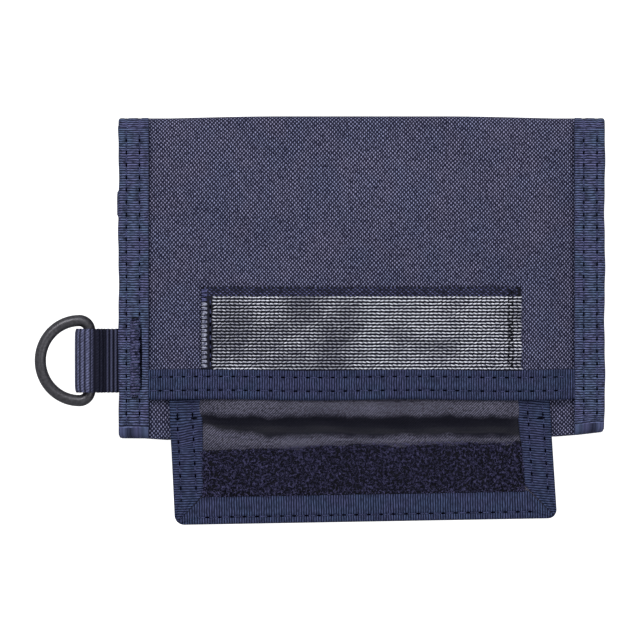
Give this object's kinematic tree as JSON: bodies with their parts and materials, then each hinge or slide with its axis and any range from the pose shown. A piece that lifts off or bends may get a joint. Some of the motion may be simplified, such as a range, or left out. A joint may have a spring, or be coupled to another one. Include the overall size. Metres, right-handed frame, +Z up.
{
  "type": "trifold wallet",
  "caption": "Cloth trifold wallet, folded flat, with an outside coin pocket whose flap hangs open below the edge and a D-ring on a webbing tab at one side.",
  "frame": {"origin": "middle of the rear panel's underside, which rests on the table, taken across the bound edges and from fold to fold", "axes": "+Z up through the folded stack, +Y from the coin flap's side to the front fold, +X away from the D-ring's side"},
  "size_m": [0.1425, 0.1029, 0.0196],
  "materials": {
    "navy_cloth": "matt coated pack cloth with a fleck",
    "navy_tape": "ribbed woven edge tape",
    "navy_lining": "smooth twill lining",
    "navy_webbing": "heavy woven webbing",
    "stiffener": "thin board, hidden",
    "hook_tape": "rows of small stiff hooks",
    "loop_tape": "brushed loop pile",
    "thread": "dense bar tack",
    "clear_film": "clear soft film",
    "ring_coat": "dark satin coating"
  },
  "bodies": {
    "centre_panel": {"centre_cloth": "navy_cloth", "centre_board": "stiffener", "centre_lining": "navy_lining", "centre_binding_left": "navy_tape", "centre_binding_right": "navy_tape", "centre_card_pocket_lower": "navy_cloth", "centre_card_pocket_upper": "navy_cloth", "front_closure_loop": "loop_tape", "centre_note_sleeve": "navy_lining", "rear_closure_loop": "loop_tape"},
    "front_fold": {"front_fold_cloth": "navy_cloth", "front_fold_lining": "navy_lining", "front_fold_binding_left": "navy_tape", "front_fold_binding_right": "navy_tape"},
    "coin_panel": {"coin_shell": "navy_cloth", "coin_board": "stiffener", "coin_lining": "navy_lining", "coin_binding_left": "navy_tape", "coin_binding_right": "navy_tape", "coin_pocket_front": "navy_cloth", "coin_mouth_binding": "navy_tape", "hook_strip": "hook_tape", "flap_root": "navy_cloth", "id_window_frame": "navy_tape", "id_window_film": "clear_film", "front_closure_hook": "hook_tape", "ring_webbing_anchor": "navy_webbing", "ring_bar_tack": "thread"},
    "coin_flap": {"flap_shell": "navy_cloth", "flap_lining": "navy_lining", "flap_binding_left": "navy_tape", "flap_binding_right": "navy_tape", "flap_binding_end": "navy_tape", "flap_loop_strip": "loop_tape"},
    "ring_tab": {"ring_webbing": "navy_webbing"},
    "ring": {"d_ring": "ring_coat"},
    "rear_fold": {"rear_fold_cloth": "navy_cloth", "rear_fold_lining": "navy_lining", "rear_fold_binding_left": "navy_tape", "rear_fold_binding_right": "navy_tape"},
    "rear_panel": {"rear_shell": "navy_cloth", "rear_board": "stiffener", "rear_lining": "navy_lining", "rear_binding_left": "navy_tape", "rear_binding_right": "navy_tape", "rear_note_sleeve": "navy_lining", "rear_card_pocket": "navy_cloth", "rear_closure_hook": "hook_tape"}
  },
  "joints": [
    {"name": "front_fold_lower", "type": "hinge", "parent": "centre_panel", "child": "front_fold", "pos_m": [0, 0.04, 0.0053], "axis": [-1, 0, 0], "range_deg": [0, 87]},
    {"name": "front_fold_upper", "type": "hinge", "parent": "front_fold", "child": "coin_panel", "pos_m": [0, 0.04, 0.0148], "axis": [-1, 0, 0], "range_deg": [0, 87]},
    {"name": "rear_fold_upper", "type": "hinge", "parent": "centre_panel", "child": "rear_fold", "pos_m": [0, -0.04, 0.0078], "axis": [-1, 0, 0], "range_deg": [0, 90]},
    {"name": "rear_fold_lower", "type": "hinge", "parent": "rear_fold", "child": "rear_panel", "pos_m": [0, -0.04, 0], "axis": [-1, 0, 0], "range_deg": [0, 90]},
    {"name": "flap_hinge", "type": "hinge", "parent": "coin_panel", "child": "coin_flap", "pos_m": [0, -0.0353, 0.01875], "axis": [-1, 0, 0], "range_deg": [0, 180]},
    {"name": "tab_flex", "type": "hinge", "parent": "coin_panel", "child": "ring_tab", "pos_m": [-0.0624, -0.0212, 0.01005], "axis": [0, 1, 0], "range_deg": [-30, 30]},
    {"name": "ring_swing", "type": "hinge", "parent": "ring_tab", "child": "ring", "pos_m": [-0.0682, -0.0212, 0.01005], "axis": [0, 1, 0], "range_deg": [-75, 75]}
  ],
  "couplings": [
    {"joint": "front_fold_upper", "follows": "front_fold_lower", "ratio": 1},
    {"joint": "rear_fold_lower", "follows": "rear_fold_upper", "ratio": 1}
  ]
}
